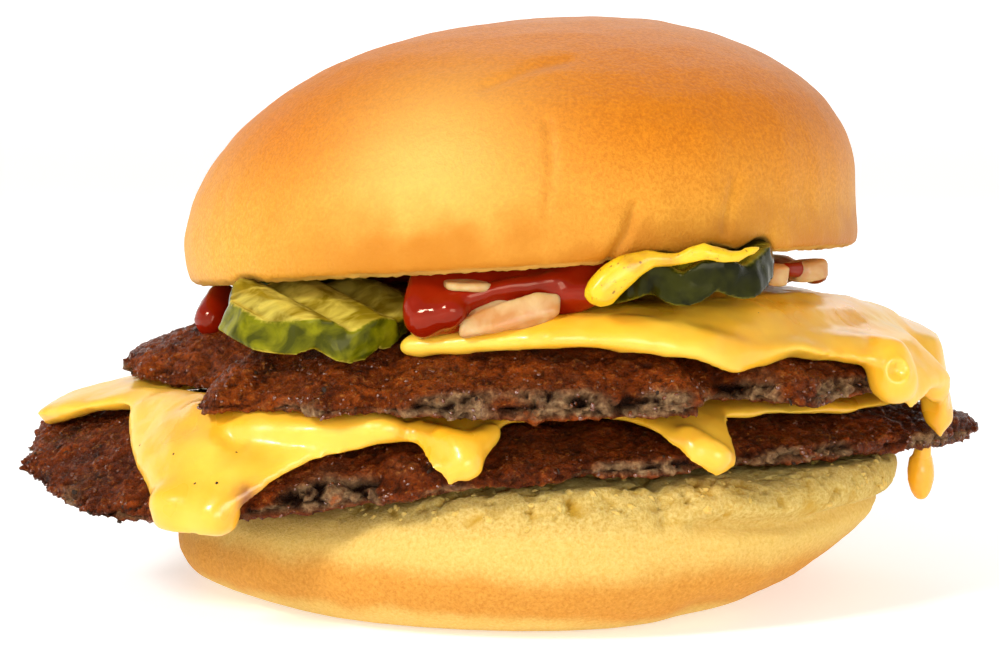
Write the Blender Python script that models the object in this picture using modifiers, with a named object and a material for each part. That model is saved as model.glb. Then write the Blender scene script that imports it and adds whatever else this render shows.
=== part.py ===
"""Double cheeseburger: a soft bun cut in two, with two ragged smashed patties, a melted cheese slice
on each, crinkle-cut pickle chips, raw onion, ketchup and mustard between its halves.

Lengths are in metres and +Z is up. The front of the burger faces -Y and its left side is -X. The origin
is on the flat underside of the heel, on the table, below the middle of the patties.
Each layer is a turned form bent by formulas: its reach and its edge height are stated at equal steps
round the burger, from +X towards +Y, and are smoothed in between. A layer is then cut to fit its
neighbours with a small gap, as soft food settles on what is below it.
"""

import bisect
import math

import bmesh
import bpy
from mathutils import Euler, Matrix, Vector, noise
from mathutils.bvhtree import BVHTree

FULL_TURN = 2 * math.pi


def mm(*values):
    """Millimetres as metres: one value, or a tuple of them."""
    metres = tuple(value / 1000 for value in values)
    return metres[0] if len(metres) == 1 else metres


# Air between two pieces that touch.
GAP = mm(0.35)

# Bun: the crown sits tilted on the fillings, right side and front up.
CROWN_CENTRE = mm(3.5, 0, 45.5)
CROWN_RADIUS = mm(48.5)
CROWN_HEIGHT = mm(35.4)
CROWN_LEAN = 0.18
CROWN_TURN = (-4.2, -3.5, 0)
CROWN_ROUNDNESS = 2.12
CROWN_WIDEST = mm(7)
CROWN_CUT_RADIUS = mm(48.3)
CROWN_HOLLOW = mm(2.4)
HEEL_CENTRE_X = mm(5)
HEEL_RADIUS = mm(52)
HEEL_DEPTH_SHARE = 0.92
HEEL_FLAT_RADIUS = mm(39)
HEEL_WIDEST = mm(10)
HEEL_RIM = mm(20.5)
HEEL_MIDDLE = mm(22)
HEEL_LEFT_SQUASH = 0.2

# The heel's right side curls up off the table from here. Its rim droops at an angle, over a half width, both
# in degrees, by a height.
HEEL_CURL_START = mm(9)
HEEL_CURL = mm(10)
HEEL_DROOPS = ((-38, 24, mm(5)), (-128, 20, mm(4.8)))
HEEL_TRIANGLES = 1300
BUN_SECTORS = 42

# How far the evenly spaced sectors of patties and cheeses are drawn towards the front, in radians.
FRONT_SHARE = 0.38

# Patties. Their reach and the height of their edge are at twelve steps round from +X (right), through the
# back, the left and the front. A tear or tongue of the rim is its angle and half width in degrees, and its
# length outwards. A swell is the same for the thickness of the rim.
LOWER_PATTY = {
    "reach": mm(67, 61, 57, 55, 57, 63, 68.5, 64, 55, 49, 50, 54),
    "edge": mm(21.4, 22, 21, 20, 19.5, 19.5, 20.4, 13.4, 17.4, 21.6, 22.6, 22.4),
    "middle": mm(24.4),
    "thickness": mm(8.2),
    "tears": ((4, 8, mm(4)), (197, 8, mm(2.4)), (247, 5, mm(-3)), (310, 5, mm(-3)), (75, 6, mm(-4))),
    "swells": ((243, 15, mm(3.2)), (2, 10, mm(2.6))),
    "seed": 7,
}
UPPER_PATTY = {
    "reach": mm(62, 59, 55, 53, 54, 58, 56.5, 46, 54, 52, 56, 59),
    "edge": mm(31.5, 31, 31, 30, 30, 29.8, 31, 29, 30, 30.8, 30.8, 31),
    "middle": mm(36.2),
    "thickness": mm(8.5),
    "tears": (
        (223, 6, mm(8)),
        (251, 3, mm(-2)),
        (306, 4.5, mm(-9)),
        (317, 5, mm(2)),
        (20, 6, mm(-4)),
        (120, 6, mm(-4)),
    ),
    "swells": ((278, 24, mm(2.6)), (322, 8, mm(1.5))),
    "seed": 23,
}
PATTY_SECTORS = 78
PATTY_RINGS = 10
PATTY_BLUNTNESS = 4
PATTY_THINNING = 0.12
PATTY_FALL = 0.035
CRAG_DEPTH = mm(1.6)
CRAG_SIZE = mm(7)
RAGGED_DEPTH = mm(2.6)

# Cheese slices, melted: reach from the middle along the surface, past the patty's rim where it hangs. A drip
# is its angle and half width in degrees, and its length.
LOWER_CHEESE_REACH = mm(60, 59, 60, 62, 58, 63, 59, 51.5, 52, 42, 42, 50)
UPPER_CHEESE_REACH = mm(69, 63, 59, 57, 50, 38, 26, 24, 29, 43, 51, 58)
CHEESE_THICKNESS = mm(2.1)
CHEESE_MELT = 0.14
CHEESE_REST = mm(0.65)
CHEESE_SECTORS = PATTY_SECTORS
CHEESE_RINGS = 12
CHEESE_BLUNTNESS = 3

# A drop of cheese that hangs under the lower patty's right end: its middle, radius, and height over width.
DROP_CENTRE = mm(60.3, -7, 17.2)
DROP_RADIUS = mm(1.9)
DROP_STRETCH = 2.4
LOWER_CHEESE_DRIPS = (
    (182, 6, mm(9)),
    (226.5, 10.5, mm(14)),
    (263, 5, mm(8.5)),
    (302, 7, mm(11.5)),
    (50, 7, mm(5)),
    (105, 8, mm(6)),
)
UPPER_CHEESE_DRIPS = ((334, 5, mm(6.5)), (348, 5, mm(8)), (48, 7, mm(6)), (95, 7, mm(5)))

# Crinkle-cut pickle chips: centre, radius, thickness, turn in degrees about X, Y and Z.
PICKLE_WAVE = mm(0.9)
PICKLE_WAVE_LENGTH = mm(8.3)
PICKLES = {
    "pickle_left": (mm(-24, -32.8, 41.9), mm(12.6), mm(4.3), (10, -1, 32)),
    "pickle_left_back": (mm(-29.5, -13.2, 43.7), mm(7.6), mm(3), (3, -3, 80)),
    "pickle_right": (mm(24.8, -37, 48.2), mm(11.6), mm(4.4), (2, -4, 4)),
}

# Raw onion pieces: centre, size along their own X, Y and Z, turn in degrees.
ONIONS = {
    "onion_front": (mm(1.4, -42.8, 43.7), mm(13, 3, 6.4), (-38, 6, 0)),
    "onion_top": (mm(-4, -42.4, 46.9), mm(7.4, 6.6, 1.5), (4, 2, 8)),
    "onion_right": (mm(37.6, -28, 46.9), mm(3.6, 3.4, 3.2), (8, 4, 30)),
    "onion_right_end": (mm(42.4, -21, 47), mm(6, 5, 3.2), (0, -6, 24)),
    "onion_back": (mm(8, 46, 39.6), mm(16, 6, 3), (-16, 4, 8)),
}
ONION_CURL = mm(1.2)

# Ketchup: it fills the room under the crown out to these reaches, with lobes that ooze past them.
KETCHUP_REACH = mm(46, 43, 41, 41, 42, 41, 27, 21, 22, 28, 28, 37)
KETCHUP_LOBES = ((257, 6.5, mm(19)), (284, 6, mm(16)), (178, 6.5, mm(16)))
KETCHUP_DENT = ((267, 8, mm(3.6)),)
KETCHUP_LEAST = mm(0.5)
KETCHUP_MOST = mm(8.5)
KETCHUP_SECTORS = 48
KETCHUP_RINGS = 6

# Mustard: a worm of it along the right-hand chip's upper edge, with a blob at its left end.
MUSTARD_PATH = mm(13, 15.6, 18.8, 22.4, 26, 29.6, 33)
MUSTARD_RISE = mm(46.6, 49, 50.9, 50.6, 51.8, 51, 51.9)
MUSTARD_OUT = mm(-47.6, -47.6, -48, -48.6, -48.9, -48.4, -47)
MUSTARD_RADIUS = mm(2.5, 2.4, 1.5, 1.1, 1.5, 1.2, 0.8)

COLOURS = {
    "crust": ((0.85, 0.44, 0.10), 0.45),
    "meat": ((0.09, 0.03, 0.015), 0.5),
    "cheese": ((1.0, 0.58, 0.06), 0.3),
    "pickle": ((0.16, 0.19, 0.02), 0.3),
    "onion": ((0.85, 0.60, 0.36), 0.25),
    "ketchup": ((0.45, 0.02, 0.005), 0.15),
    "mustard": ((0.85, 0.55, 0.02), 0.3),
}


def clear_scene():
    for obj in list(bpy.data.objects):
        bpy.data.objects.remove(obj)


def smooth(low, high, value):
    """0 below low, 1 above high, and a smooth step between them."""
    share = min(1, max(0, (value - low) / (high - low)))
    return share * share * (3 - 2 * share)


def around(values, angle):
    """The value at an angle, on a smooth closed curve through values given at equal steps."""
    place = (angle % FULL_TURN) / FULL_TURN * len(values)
    low = int(place) % len(values)
    share = place - int(place)
    before, start, end, after = (values[(low + step) % len(values)] for step in (-1, 0, 1, 2))
    linear = end - before
    square = 2 * before - 5 * start + 4 * end - after
    cube = -before + 3 * start - 3 * end + after
    return start + 0.5 * share * (linear + share * (square + share * cube))


def tongues(bumps, angle):
    """What tears and tongues, or drips, add to a reach at this angle."""
    total = 0
    for degrees, half_width, length in bumps:
        off = (angle - math.radians(degrees) + math.pi) % FULL_TURN - math.pi
        total += length * math.exp(-abs(off / math.radians(half_width)) ** 3)
    return total


def placed(centre, degrees):
    """The matrix that turns a piece by these degrees about X, Y and Z and moves it to its centre."""
    turn = Euler([math.radians(value) for value in degrees])
    return Matrix.Translation(centre) @ turn.to_matrix().to_4x4()


def forward(angle):
    """An evenly spaced angle moved towards the front, where the rims have their finest drips and tears."""
    return angle - FRONT_SHARE * math.cos(angle)


def polar(radius, angle, height):
    return Vector((radius * math.cos(angle), radius * math.sin(angle), height))


def turned(profile, sectors):
    """A closed bmesh turned about Z from (radius, height) points that run from its top to its bottom."""
    bm = bmesh.new()
    verts = [bm.verts.new((radius, 0, height)) for radius, height in profile]
    edges = [bm.edges.new(pair) for pair in zip(verts, verts[1:])]
    bmesh.ops.spin(
        bm, geom=verts + edges, cent=(0, 0, 0), axis=(0, 0, 1), angle=FULL_TURN, steps=sectors, use_merge=True
    )
    bmesh.ops.remove_doubles(bm, verts=bm.verts, dist=1e-6)
    bmesh.ops.recalc_face_normals(bm, faces=bm.faces)
    return bm


def disc_profile(rings, bluntness):
    """A flat unit disc's profile: radius 0 to 1 and back, heights 1 to -1, with a rounded rim."""
    points = []
    for ring in range(rings + 1):
        angle = math.pi * ring / rings
        radius = abs(math.sin(angle)) ** (2 / bluntness)
        height = math.copysign(abs(math.cos(angle)) ** (2 / bluntness), math.cos(angle))
        points.append((0 if ring in (0, rings) else radius, height))
    return points


def piece(name, bm, look, collection):
    """The bmesh as a named object with its material, shaded smooth."""
    mesh = bpy.data.meshes.new(name)
    bm.to_mesh(mesh)
    bm.free()
    mesh.materials.append(material(look))
    mesh.shade_smooth()
    obj = bpy.data.objects.new(name, mesh)
    collection.objects.link(obj)
    return obj


def material(look):
    if look in bpy.data.materials:
        return bpy.data.materials[look]
    colour, roughness = COLOURS[look]
    made = bpy.data.materials.new(look)
    made.use_nodes = True
    shader = made.node_tree.nodes["Principled BSDF"]
    shader.inputs["Base Color"].default_value = (*colour, 1)
    shader.inputs["Roughness"].default_value = roughness
    shader.inputs["Metallic"].default_value = 0
    return made


def crag(point, size, depth, seed):
    """A point moved by a seeded noise of that grain and depth, read at one far place for each axis."""
    places = [point / size + Vector((seed, 10 * axis, seed)) for axis in range(3)]
    return point + Vector([noise.noise(place) for place in places]) * depth


def crown_profile():
    """Superellipse dome down to the widest ring, a short wall to the cut, then the slightly hollow face."""
    rings = 9
    dome = []
    for ring in range(rings + 1):
        angle = math.pi / 2 * ring / rings
        radius = CROWN_RADIUS * math.sin(angle) ** (2 / CROWN_ROUNDNESS)
        rise = (CROWN_HEIGHT - CROWN_WIDEST) * max(0, math.cos(angle)) ** (2 / CROWN_ROUNDNESS)
        dome.append((radius, CROWN_WIDEST + rise))
    wall = [(CROWN_RADIUS, CROWN_WIDEST * 0.5), (CROWN_CUT_RADIUS, mm(1)), (CROWN_CUT_RADIUS - mm(1), 0)]
    face = [(CROWN_CUT_RADIUS * share, CROWN_HOLLOW * (1 - share)) for share in (0.85, 0.5, 0)]
    return dome + wall + face


def make_crown(collection):
    bm = turned(crown_profile(), BUN_SECTORS)
    for vert in bm.verts:
        vert.co = crag(vert.co, mm(38), mm(1.2) * smooth(0, CROWN_WIDEST, vert.co.z), 3)
        vert.co.x += CROWN_LEAN * max(0, vert.co.z - CROWN_WIDEST)
    bm.transform(placed(CROWN_CENTRE, CROWN_TURN))
    return piece("bun_crown", bm, "crust", collection)


def heel_profile():
    """Crumb dome, cut rim, a round side and a flat underside."""
    top = [(0, HEEL_MIDDLE), (HEEL_RADIUS * 0.5, HEEL_MIDDLE), (HEEL_RADIUS * 0.8, HEEL_RIM + mm(0.6))]
    rim = [(HEEL_RADIUS * 0.94, HEEL_RIM), (HEEL_RADIUS * 0.985, HEEL_RIM - mm(3))]
    side = []
    steps = 7
    for step in range(steps + 1):
        angle = math.pi / 2 * step / steps
        radius = HEEL_FLAT_RADIUS + (HEEL_RADIUS - HEEL_FLAT_RADIUS) * math.cos(angle) ** 0.9
        side.append((radius, HEEL_WIDEST * (1 - math.sin(angle))))
    return top + rim + side + [(HEEL_FLAT_RADIUS * 0.5, 0), (0, 0)]


def make_heel(collection):
    """The right side curls up off the table, and the left side is pressed thinner under the patties."""
    bm = turned(heel_profile(), BUN_SECTORS)
    curl_length = HEEL_RADIUS + HEEL_CENTRE_X - HEEL_CURL_START
    for vert in bm.verts:
        x, y, z = vert.co
        flat = z < mm(0.01)
        radius = math.hypot(x, y)
        outer = smooth(HEEL_FLAT_RADIUS, HEEL_RADIUS, radius)
        droop = tongues(HEEL_DROOPS, math.atan2(y, x)) * smooth(HEEL_WIDEST, HEEL_RIM, z)
        z -= droop * smooth(HEEL_RADIUS * 0.62, HEEL_RADIUS * 0.94, radius)
        z *= 1 - HEEL_LEFT_SQUASH * smooth(0, HEEL_RADIUS, -x) * outer
        z += HEEL_CURL * (max(0, x + HEEL_CENTRE_X - HEEL_CURL_START) / curl_length) ** 2
        moved = crag(Vector((x, y, z)), mm(24), mm(1.2) * outer, 11)
        resting = flat and x + HEEL_CENTRE_X < HEEL_CURL_START
        height = 0 if resting else max(moved.z, mm(0.3) * outer)
        vert.co = Vector((moved.x + HEEL_CENTRE_X, moved.y * HEEL_DEPTH_SHARE, height))
    return piece("bun_heel", bm, "crust", collection)


def patty_rim(form, tears, angle):
    """Where a patty ends at this angle, with its tears and its ragged edge."""
    ragged = noise.fractal(polar(4.2, angle, form["seed"]), 0.7, 2, 3)
    return around(form["reach"], angle) + tongues(tears, angle) + RAGGED_DEPTH * ragged


def patty_point(form, rim, angle, share, face):
    """Radius and height on a patty: share of the way to its rim, face 1 on its top and -1 on its underside.

    Its middle plane falls gently to the back, and bends to the stated edge height towards the rim.
    """
    bend = smooth(0.6, 1.1, share)
    middle = form["middle"] - PATTY_FALL * share * rim * math.sin(angle)
    level = middle * (1 - bend) + around(form["edge"], angle) * bend
    rim_change = tongues(form["swells"], angle) - PATTY_THINNING * form["thickness"]
    thick = form["thickness"] + rim_change * smooth(0.5, 1, share)
    return share * rim, level + face * thick / 2


def make_patty(name, form, crag_depth, collection):
    """The crags are cut into the form, so that nothing stands out past it under the cheese."""
    bm = turned(disc_profile(PATTY_RINGS, PATTY_BLUNTNESS), PATTY_SECTORS)
    for vert in bm.verts:
        angle = forward(math.atan2(vert.co.y, vert.co.x))
        share = math.hypot(vert.co.x, vert.co.y)
        rim = patty_rim(form, form["tears"], angle)
        radius, height = patty_point(form, rim, angle, share, vert.co.z)
        vert.co = polar(radius, angle, height)
    bm.normal_update()
    dents = []
    for vert in bm.verts:
        grain = 0.5 + 0.5 * noise.noise(vert.co / CRAG_SIZE + Vector((form["seed"], 0, 0)))
        outer = smooth(0.35, 0.8, math.hypot(vert.co.x, vert.co.y) / form["reach"][3])
        dents.append((vert, vert.normal * crag_depth * grain * outer))
    for vert, dent in dents:
        vert.co -= dent
    return piece(name, bm, "meat", collection)


def cheese_path(form, angle):
    """The line that a slice follows at this angle: over its patty's top, round the rim, then straight down.

    Returns (distance along the line, radius, height, slope down) for each point.
    """
    tongues_only = [tear for tear in form["tears"] if tear[2] > 0]
    rim = patty_rim(form, tongues_only, angle)
    steps = 40
    line = []
    for step in range(steps + 1):
        turn = math.pi / 2 * step / steps
        share = math.sin(turn) ** (2 / PATTY_BLUNTNESS)
        face = max(0, math.cos(turn)) ** (2 / PATTY_BLUNTNESS)
        line.append(patty_point(form, rim, angle, share, face))
    line.append((line[-1][0], line[-1][1] - mm(40)))
    path = []
    length = 0
    for here, there in zip(line, line[1:]):
        path.append((length, *here, math.atan2(here[1] - there[1], there[0] - here[0])))
        length += math.dist(here, there)
    path.append((length, *line[-1], math.pi / 2))
    return path


def along(path, distance):
    """Radius, height and slope at a distance along the path, between its points."""
    last = len(path) - 2
    low = min(last, max(0, bisect.bisect_right(path, (distance,)) - 1))
    start, end = path[low], path[low + 1]
    share = (distance - start[0]) / max(end[0] - start[0], 1e-9)
    return [a + (b - a) * share for a, b in zip(start[1:], end[1:])]


def make_cheese(name, reach, drips, form, collection):
    """A slice melted on its patty: it keeps the gap above the patty's form, and hangs past the rim in drips."""
    bm = turned(disc_profile(CHEESE_RINGS, CHEESE_BLUNTNESS), CHEESE_SECTORS)
    paths = {}
    for vert in bm.verts:
        angle = forward(math.atan2(vert.co.y, vert.co.x))
        share = math.hypot(vert.co.x, vert.co.y)
        key = round(angle, 4)
        if key not in paths:
            paths[key] = cheese_path(form, angle)
        length = around(reach, angle) + tongues(drips, angle)
        radius, height, down = along(paths[key], share * length)
        bead = smooth(0.8, 0.95, share) * smooth(0.3, 1.2, down)
        melt = CHEESE_MELT * noise.noise(polar(radius / mm(14), angle, form["seed"]))
        thick = CHEESE_THICKNESS * (1 + 0.5 * bead + melt)
        rise = CHEESE_REST + thick * (0.5 + 0.5 * vert.co.z)
        vert.co = polar(radius + rise * math.sin(down), angle, height + rise * math.cos(down))
    return piece(name, bm, "cheese", collection)


def make_drop(collection):
    """A drop, narrower towards its top, where it meets the patty."""
    bm = bmesh.new()
    bmesh.ops.create_uvsphere(bm, u_segments=12, v_segments=8, radius=DROP_RADIUS)
    for vert in bm.verts:
        vert.co.xy *= 1 - 0.1 * vert.co.z / DROP_RADIUS
        vert.co.z *= DROP_STRETCH
    bmesh.ops.translate(bm, verts=bm.verts, vec=DROP_CENTRE)
    return piece("cheese_drop", bm, "cheese", collection)


def make_pickle(name, centre, radius, thickness, turn, collection):
    """A corrugated sheet with an uneven round outline, thickened, as a crinkle cutter leaves a chip."""
    chip = bmesh.new()
    bmesh.ops.create_grid(chip, x_segments=18, y_segments=4, size=1)
    for vert in chip.verts:
        x, y, _ = vert.co
        vert.co = Vector((x * math.sqrt(1 - y * y / 2), y * math.sqrt(1 - x * x / 2), 0)) * radius
        vert.co.xy *= 1 + 0.03 * math.sin(3 * math.atan2(y, x) + radius * 1000)
        vert.co.z = PICKLE_WAVE * math.sin(FULL_TURN * vert.co.x / PICKLE_WAVE_LENGTH)
    obj = piece(name, chip, "pickle", collection)
    slab = obj.modifiers.new("slab", "SOLIDIFY")
    slab.thickness = thickness
    slab.offset = 0
    apply_modifiers(obj)
    obj.data.transform(placed(centre, turn))
    return obj


def make_onion(name, centre, size, turn, collection):
    """A piece of one onion layer: a slab with soft edges, a little curled along its length."""
    bm = bmesh.new()
    bmesh.ops.create_cube(bm, size=1)
    bmesh.ops.subdivide_edges(bm, edges=bm.edges, cuts=2, use_grid_fill=True)
    for vert in bm.verts:
        ball = vert.co.normalized() * 0.5
        vert.co = vert.co.lerp(ball, 0.35)
        vert.co = Vector(side * length for side, length in zip(vert.co, size))
        vert.co.y += ONION_CURL * (2 * vert.co.x / size[0]) ** 2
    bm.transform(placed(centre, turn))
    return piece(name, bm, "onion", collection)


def make_ketchup(floors, ceiling, collection):
    """Ketchup that fills the room between the crown above and the cheese or the patty below."""
    bpy.context.view_layer.update()
    scene_state = bpy.context.evaluated_depsgraph_get()
    floor_trees = [BVHTree.FromObject(floor, scene_state) for floor in floors]
    ceiling_tree = BVHTree.FromObject(ceiling, scene_state)
    bm = turned(disc_profile(KETCHUP_RINGS, 3), KETCHUP_SECTORS)
    for vert in bm.verts:
        angle = math.atan2(vert.co.y, vert.co.x)
        share = math.hypot(vert.co.x, vert.co.y)
        reach = around(KETCHUP_REACH, angle) + tongues(KETCHUP_LOBES, angle)
        reach += mm(1.5) * noise.noise(polar(3, angle, 5))
        below = polar(share * reach, angle, mm(30))
        above = polar(share * reach, angle, mm(100))
        top = ceiling_tree.ray_cast(below, Vector((0, 0, 1)))[0].z
        top -= tongues(KETCHUP_DENT, angle) * smooth(mm(30), mm(36), share * reach)
        hits = [tree.ray_cast(above, Vector((0, 0, -1)))[0] for tree in floor_trees]
        floor = max([hit.z for hit in hits if hit] + [top - KETCHUP_MOST])
        bottom = min(floor + mm(0.2), top - KETCHUP_LEAST)
        vert.co = polar(share * reach, angle, (top + bottom) / 2 + vert.co.z * (top - bottom) / 2)
    return piece("ketchup", bm, "ketchup", collection)


def make_mustard(collection):
    """A row of round beads squeezed along the path and joined by one voxel skin."""
    bm = bmesh.new()
    beads = 24
    last = len(MUSTARD_PATH) - 1
    for bead in range(beads + 1):
        place = bead / beads * last
        low = min(int(place), last - 1)
        part = place - low
        x, y, z, radius = (
            line[low] + (line[low + 1] - line[low]) * part
            for line in (MUSTARD_PATH, MUSTARD_OUT, MUSTARD_RISE, MUSTARD_RADIUS)
        )
        bmesh.ops.create_icosphere(bm, subdivisions=2, radius=radius, matrix=Matrix.Translation((x, y, z)))
    obj = piece("mustard", bm, "mustard", collection)
    skin = obj.modifiers.new("one skin", "REMESH")
    skin.mode = "VOXEL"
    skin.voxel_size = mm(0.9)
    thin = obj.modifiers.new("fewer triangles", "DECIMATE")
    thin.ratio = 0.3
    apply_modifiers(obj)
    return obj


def apply_modifiers(obj):
    """The object's evaluated mesh becomes its own, its largest body only."""
    bpy.context.view_layer.update()
    evaluated = obj.evaluated_get(bpy.context.evaluated_depsgraph_get())
    mesh = bpy.data.meshes.new_from_object(evaluated)
    obj.modifiers.clear()
    bm = bmesh.new()
    bm.from_mesh(mesh)
    keep_largest_body(bm)
    bm.to_mesh(mesh)
    bm.free()
    mesh.shade_smooth()
    obj.data = mesh


def keep_largest_body(bm):
    """Drops the loose scraps that a cut leaves."""
    unseen = set(bm.verts)
    bodies = []
    while unseen:
        body, to_visit = set(), [unseen.pop()]
        while to_visit:
            vert = to_visit.pop()
            body.add(vert)
            near = {edge.other_vert(vert) for edge in vert.link_edges} & unseen
            unseen -= near
            to_visit.extend(near)
        bodies.append(body)
    bodies.sort(key=len, reverse=True)
    scraps = [vert for body in bodies[1:] for vert in body]
    bmesh.ops.delete(bm, geom=scraps, context="VERTS")


def grown(obj, cutters, gap=GAP):
    """A copy of a piece before any cut, moved out by the gap on all sides: the room that it needs."""
    copy = obj.copy()
    copy.data = obj.data.copy()
    cutters.objects.link(copy)
    bm = bmesh.new()
    bm.from_mesh(copy.data)
    bm.normal_update()
    moves = [(vert, vert.normal * gap) for vert in bm.verts]
    for vert, move in moves:
        vert.co += move
    bm.to_mesh(copy.data)
    bm.free()
    copy.name = obj.name + "_room"
    copy.display_type = "WIRE"
    copy.hide_render = True
    return copy


def cut(obj, rooms, solver="EXACT"):
    """Cuts obj back from the room of each neighbour.

    The manifold solver takes the thin wavy sheets and the crown, which the exact one leaves with open edges, and
    the heel, so that it is thinned out to the same triangles each time.
    """
    for room in rooms:
        gap = obj.modifiers.new(room.name, "BOOLEAN")
        gap.operation = "DIFFERENCE"
        gap.solver = solver
        gap.object = room
        apply_modifiers(obj)


def lighten(obj, triangles):
    """Thins a cut piece out to about this many triangles."""
    obj.data.calc_loop_triangles()
    thin = obj.modifiers.new("fewer triangles", "DECIMATE")
    thin.ratio = min(1, triangles / len(obj.data.loop_triangles))
    apply_modifiers(obj)


def main():
    clear_scene()
    burger = bpy.data.collections.new("double_cheeseburger")
    cutters = bpy.data.collections.new("rooms")
    bpy.context.scene.collection.children.link(burger)
    bpy.context.scene.collection.children.link(cutters)
    make_patty("patty_lower", LOWER_PATTY, CRAG_DEPTH, burger)
    make_patty("patty_upper", UPPER_PATTY, CRAG_DEPTH, burger)
    lower_cheese = make_cheese("cheese_lower", LOWER_CHEESE_REACH, LOWER_CHEESE_DRIPS, LOWER_PATTY, burger)
    upper_cheese = make_cheese("cheese_upper", UPPER_CHEESE_REACH, UPPER_CHEESE_DRIPS, UPPER_PATTY, burger)
    drop = make_drop(burger)
    heel = make_heel(burger)
    crown = make_crown(burger)
    for name, facts in PICKLES.items():
        make_pickle(name, *facts, burger)
    for name, facts in ONIONS.items():
        make_onion(name, *facts, burger)
    mustard = make_mustard(burger)

    rooms = {obj.name: grown(obj, cutters) for obj in list(burger.objects)}
    for name, form in (("patty_lower", LOWER_PATTY), ("patty_upper", UPPER_PATTY)):
        whole = make_patty(name + "_form", form, 0, cutters)
        rooms[name] = grown(whole, cutters)
        bpy.data.objects.remove(whole)
    chip_rooms = [rooms[name] for name in PICKLES]
    cut(lower_cheese, [rooms["patty_lower"], rooms["patty_upper"]], "MANIFOLD")
    cut(drop, [rooms["patty_lower"]])
    cut(heel, [rooms["patty_lower"], rooms["cheese_lower"]], "MANIFOLD")
    cut(burger.objects["pickle_left"], [rooms["patty_upper"]])
    below = [rooms[name] for name in ("patty_upper", "patty_lower", "cheese_lower")]
    cut(upper_cheese, below + chip_rooms, "MANIFOLD")
    cut(crown, chip_rooms, "MANIFOLD")
    cut(burger.objects["onion_front"], [rooms["cheese_upper"], rooms["onion_top"]])
    cut(mustard, [rooms["pickle_right"], rooms["bun_crown"]])
    ketchup = make_ketchup([rooms["patty_upper"], rooms["cheese_upper"]], rooms["bun_crown"], burger)
    cut(ketchup, [rooms["cheese_upper"], *chip_rooms, grown(upper_cheese, cutters, GAP / 3)], "MANIFOLD")
    lighten(heel, HEEL_TRIANGLES)


main()
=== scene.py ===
import math
import random

import bmesh
import bpy
from mathutils import Matrix, Vector, noise


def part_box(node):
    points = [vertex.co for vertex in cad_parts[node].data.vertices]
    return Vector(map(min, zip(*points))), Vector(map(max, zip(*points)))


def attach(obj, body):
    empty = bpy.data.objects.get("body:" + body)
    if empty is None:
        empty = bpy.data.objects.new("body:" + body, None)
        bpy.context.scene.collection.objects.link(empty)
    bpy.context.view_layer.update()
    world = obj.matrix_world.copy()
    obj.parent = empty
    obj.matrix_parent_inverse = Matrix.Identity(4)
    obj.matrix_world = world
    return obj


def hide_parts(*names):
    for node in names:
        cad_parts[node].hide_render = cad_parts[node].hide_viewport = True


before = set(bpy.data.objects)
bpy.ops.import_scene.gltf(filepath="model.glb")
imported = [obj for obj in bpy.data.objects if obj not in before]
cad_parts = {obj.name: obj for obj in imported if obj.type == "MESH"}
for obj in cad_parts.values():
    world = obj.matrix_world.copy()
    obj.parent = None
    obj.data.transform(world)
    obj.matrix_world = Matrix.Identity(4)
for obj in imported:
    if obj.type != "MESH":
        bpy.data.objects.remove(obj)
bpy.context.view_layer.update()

# Heel: the lower half of a soft bread roll, baked in a tray against its neighbours, cut and warmed.
# Pale spongy crumb shows where it was torn and cut, and a golden skin runs round its lower half.
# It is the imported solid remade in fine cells, with a fold, pores and torn crumb worked into it.


def mm(value):
    """Millimetres as metres."""
    return value / 1000


def step(low, high, value):
    """0 at low, 1 at high, and smooth in between; low may be the larger one."""
    share = min(1, max(0, (value - low) / (high - low)))
    return share * share * (3 - 2 * share)


def linear(code):
    """An sRGB hex colour as linear red, green, blue and alpha."""
    channels = [int(code[place:place + 2], 16) / 255 for place in (1, 3, 5)]
    curve = [
        value / 12.92 if value <= 0.04045 else ((value + 0.055) / 1.055) ** 2.4
        for value in channels
    ]
    return (*curve, 1)


# Sockets that share a name go by number: those of a Map Range, and of a Mix of colours.
VALUE, LOW, HIGH, TO_LOW, TO_HIGH = range(5)
FACTOR, FROM, TO, MIXED = 0, 6, 7, 2


def add(tree, kind, inputs=None, **settings):
    """Adds a node with its settings. Its inputs take constants or other nodes' outputs."""
    node = tree.nodes.new(kind)
    for name, value in settings.items():
        setattr(node, name, value)
    for key, value in (inputs or {}).items():
        if isinstance(value, bpy.types.NodeSocket):
            tree.links.new(value, node.inputs[key])
        else:
            node.inputs[key].default_value = value
    return node


def new_material(name):
    """A material with only a Principled shader on its output.

    Returns the material, its node tree and the shader.
    """
    made = bpy.data.materials.new(name)
    made.use_nodes = True
    tree = made.node_tree
    tree.nodes.clear()
    shader = add(tree, "ShaderNodeBsdfPrincipled")
    add(tree, "ShaderNodeOutputMaterial", {"Surface": shader.outputs[0]})
    return made, tree, shader


def settle(obj):
    """The object's modifiers become its mesh."""
    bpy.context.view_layer.update()
    evaluated = obj.evaluated_get(bpy.context.evaluated_depsgraph_get())
    mesh = bpy.data.meshes.new_from_object(evaluated)
    obj.modifiers.clear()
    obj.data = mesh
    mesh.shade_smooth()


def pour(part, bm):
    """A small bmesh goes into a larger one, as an operator is slower the larger its mesh is."""
    mesh = bpy.data.meshes.new("part")
    part.to_mesh(mesh)
    part.free()
    bm.from_mesh(mesh)
    bpy.data.meshes.remove(mesh)


RIB_SPACING = 0.9  # of the smallest bead's radius
BEAD_SPACING = 0.8  # millimetres


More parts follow.
